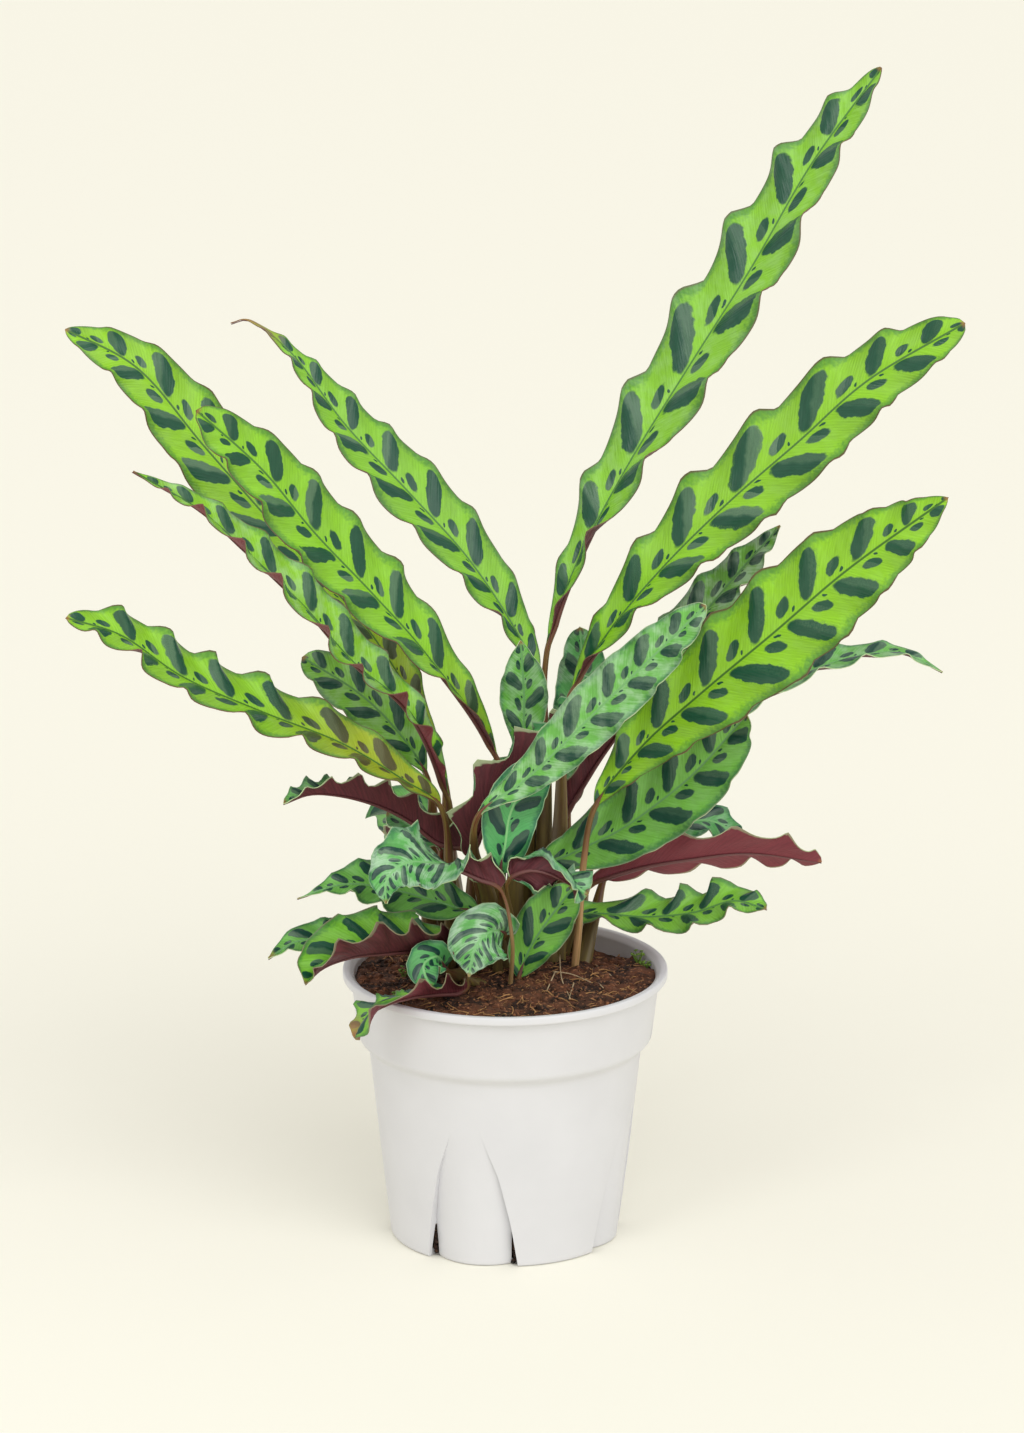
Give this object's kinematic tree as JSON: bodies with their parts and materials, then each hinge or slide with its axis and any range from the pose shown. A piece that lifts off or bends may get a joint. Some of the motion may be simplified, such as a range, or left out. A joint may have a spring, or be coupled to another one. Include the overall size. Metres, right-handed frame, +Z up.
{
  "type": "potted rattlesnake plant",
  "caption": "Leafy house plant with long wavy spotted leaves, purple beneath, growing from dark soil in a white tapered nursery pot.",
  "frame": {"origin": "centre of the pot's flat underside", "axes": "+Z up out of the pot, +X to the right of the plant seen from its front, +Y away from that viewer"},
  "size_m": [0.5235, 0.3387, 0.6681],
  "materials": {
    "pot_plastic": "moulded white polypropylene, satin",
    "peat_soil": "moist dark peat with coir fibres",
    "bark": "dry bark chip",
    "leaf_green": "bright yellow-green leaf with dark ovals",
    "leaf_teal": "bluish green leaf with dark ovals",
    "leaf_underside": "purple-maroon leaf underside",
    "leaf_stalk": "ribbed olive to red-brown stalk"
  },
  "bodies": {
    "root": {"pot": "pot_plastic", "soil": "peat_soil", "bark_chip": "bark", "leaf_left_tall": "leaf_green", "leaf_left_front": "leaf_green", "leaf_left_twisted": "leaf_green", "leaf_left_short": "leaf_teal", "leaf_left_low": "leaf_green", "leaf_upper_left_curled": "leaf_green", "leaf_centre_upright": "leaf_teal", "leaf_tallest": "leaf_green", "leaf_right_tall": "leaf_green", "leaf_right_bright": "leaf_green", "leaf_right_matt": "leaf_teal", "leaf_purple_left": "leaf_underside", "leaf_purple_centre": "leaf_underside", "leaf_teal_front": "leaf_teal", "leaf_teal_lower": "leaf_teal", "leaf_right_glossy": "leaf_teal", "leaf_purple_right": "leaf_underside", "leaf_curled_centre": "leaf_teal", "leaf_right_low": "leaf_teal", "leaf_front_upright": "leaf_teal", "leaf_shell_front": "leaf_teal", "leaf_shell_left": "leaf_teal", "leaf_left_behind_shell": "leaf_teal", "leaf_left_rim_back": "leaf_teal", "leaf_left_rim": "leaf_teal", "leaf_small_dark": "leaf_teal", "leaf_over_rim": "leaf_underside", "leaf_right_far": "leaf_teal", "leaf_small_right": "leaf_teal", "leaf_small_left": "leaf_teal", "leaf_centre_back": "leaf_teal", "leaf_back_left": "leaf_teal", "leaf_back_middle": "leaf_teal", "leaf_back_right": "leaf_teal"}
  },
  "joints": []
}
